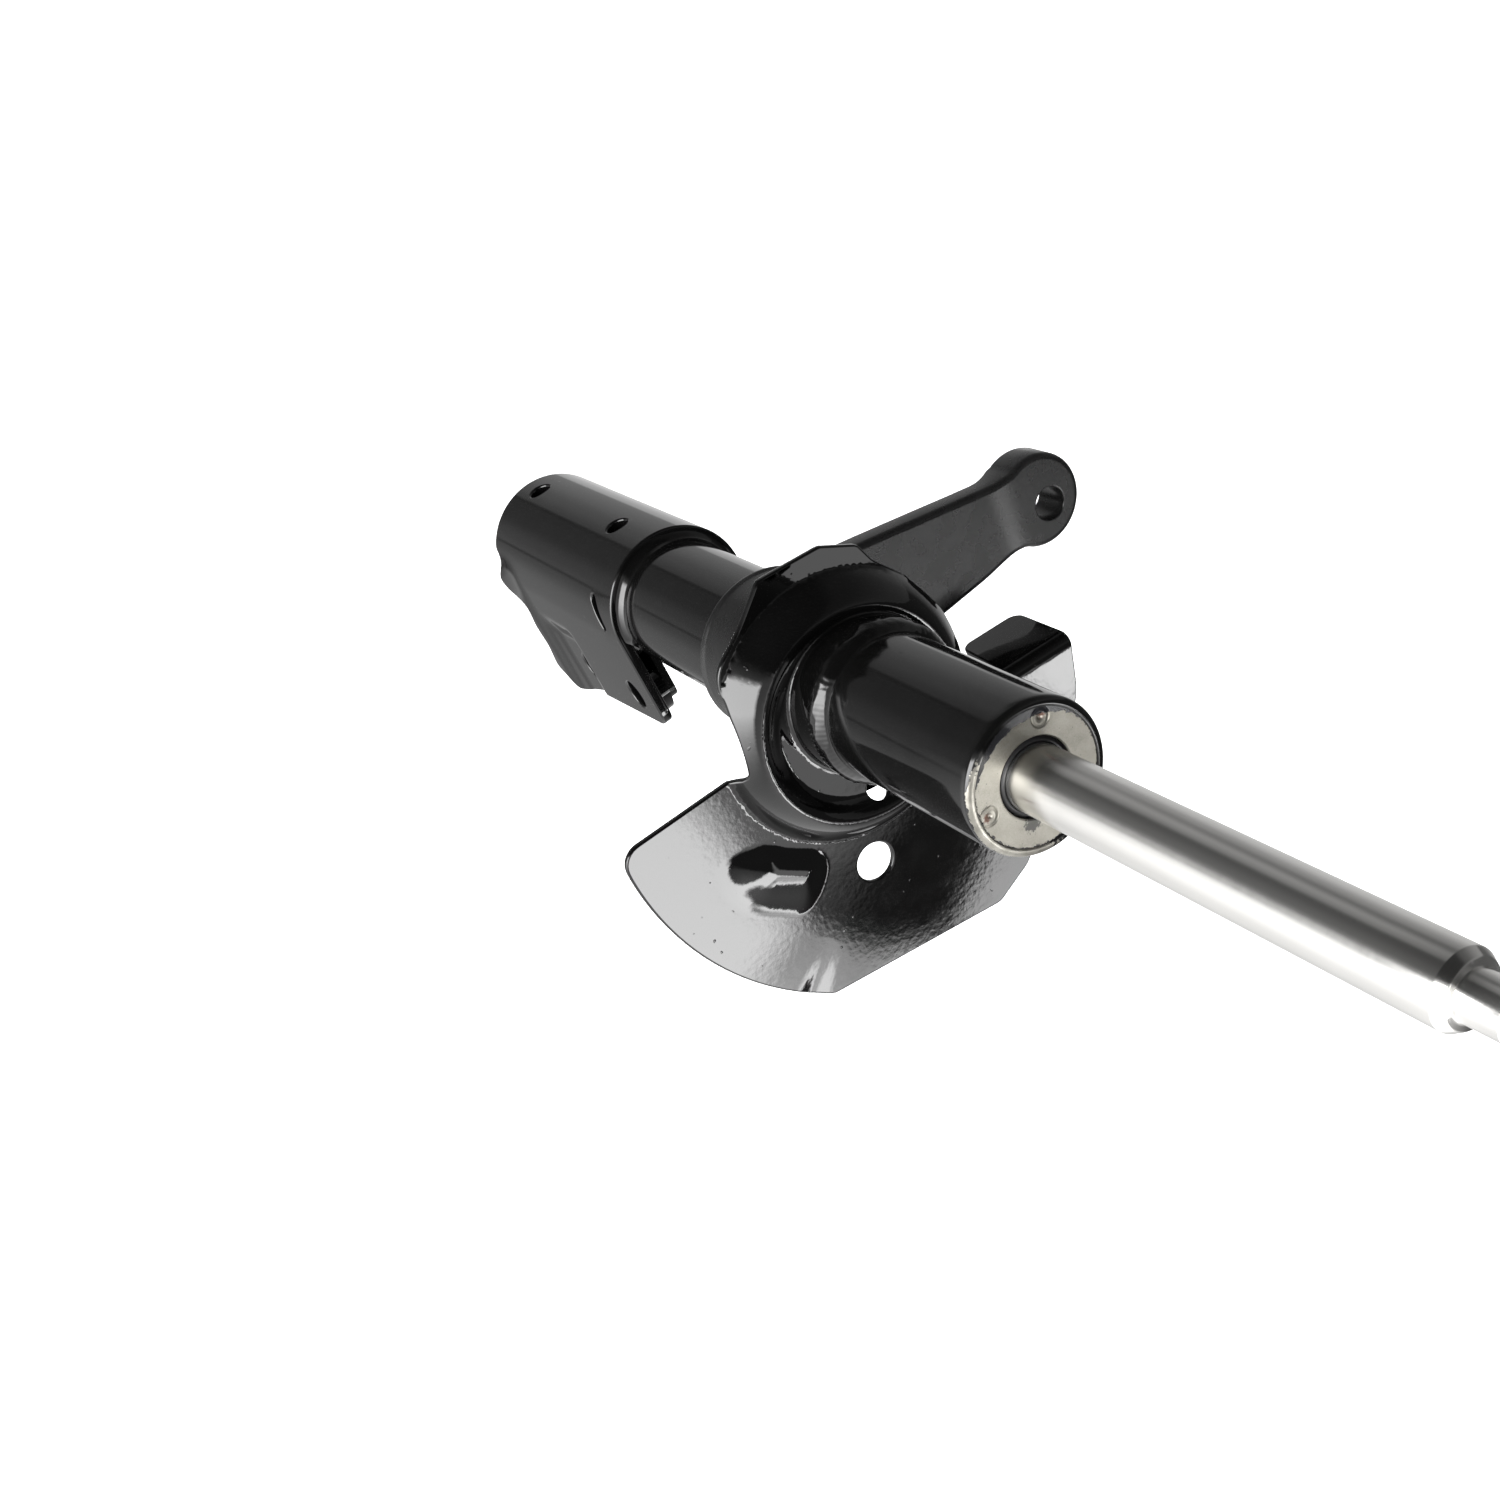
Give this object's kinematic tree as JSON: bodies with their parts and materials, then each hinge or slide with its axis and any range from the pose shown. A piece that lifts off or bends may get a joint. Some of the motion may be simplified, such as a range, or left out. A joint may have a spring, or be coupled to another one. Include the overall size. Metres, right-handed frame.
{
  "type": "suspension strut",
  "caption": "Gas-filled front suspension strut with a welded knuckle bracket, steering arm and shielded spring seat on a twin-tube damper.",
  "frame": {"origin": "centre of the base of the tube, on the strut axis", "axes": "+Z along the strut axis towards the rod's stud, X along the knuckle bolts, +Y towards the knuckle"},
  "size_m": [0.2347, 0.1703, 0.578],
  "materials": {
    "black_paint": "gloss, with slight orange peel",
    "bright_steel": "plain bright",
    "sintered_iron": "sintered, oiled",
    "bronze": "satin",
    "seal_rubber": "matt",
    "cap_steel": "bare pressed steel with overspray at the edge",
    "rod_chrome": "hard chrome, polished",
    "band_plastic": "low-friction plastic",
    "bumper_elastomer": "matt"
  },
  "bodies": {
    "strut": {"reserve_tube": "black_paint", "base_cap": "black_paint", "knuckle_bracket": "black_paint", "bracket_reinforcement": "black_paint", "bracket_weld": "black_paint", "steering_arm": "black_paint", "steering_arm_weld": "black_paint", "seat_support": "black_paint", "spring_seat": "black_paint", "spring_seat_weld": "black_paint", "pressure_tube": "bright_steel", "base_valve_body": "sintered_iron", "base_valve_discs": "bright_steel", "base_valve_bolt": "bright_steel", "base_valve_spring": "bright_steel", "rod_guide": "sintered_iron", "guide_bush": "bronze", "guide_o_ring": "seal_rubber", "rod_seal": "seal_rubber", "seal_spring": "bright_steel", "closing_cap": "cap_steel"},
    "band": {"piston_band": "band_plastic"},
    "rod": {"piston_rod": "rod_chrome", "piston": "sintered_iron", "piston_check_spring": "bright_steel", "rebound_discs": "bright_steel", "piston_washer": "bright_steel", "piston_nut": "bright_steel", "rebound_stop": "bright_steel", "rebound_bumper": "bumper_elastomer"},
    "piston_plate": {"piston_check_plate": "bright_steel"},
    "base_plate": {"base_check_plate": "bright_steel"}
  },
  "joints": [
    {"name": "rod_slide", "type": "slide", "parent": "strut", "child": "band", "axis": [0, 0, -1], "range_m": [0, 0.155], "stiffness_N_per_m": 60, "springref_m": -2.5},
    {"name": "rod_spin", "type": "hinge", "parent": "band", "child": "rod", "pos_m": [0, 0, 0.28], "axis": [0, 0, 1], "continuous": true},
    {"name": "piston_plate_lift", "type": "slide", "parent": "rod", "child": "piston_plate", "axis": [0, 0, 1], "range_m": [0, 0.0006], "stiffness_N_per_m": 400, "springref_m": -0.002},
    {"name": "base_plate_lift", "type": "slide", "parent": "strut", "child": "base_plate", "axis": [0, 0, 1], "range_m": [0, 0.0008], "stiffness_N_per_m": 400, "springref_m": -0.002}
  ]
}
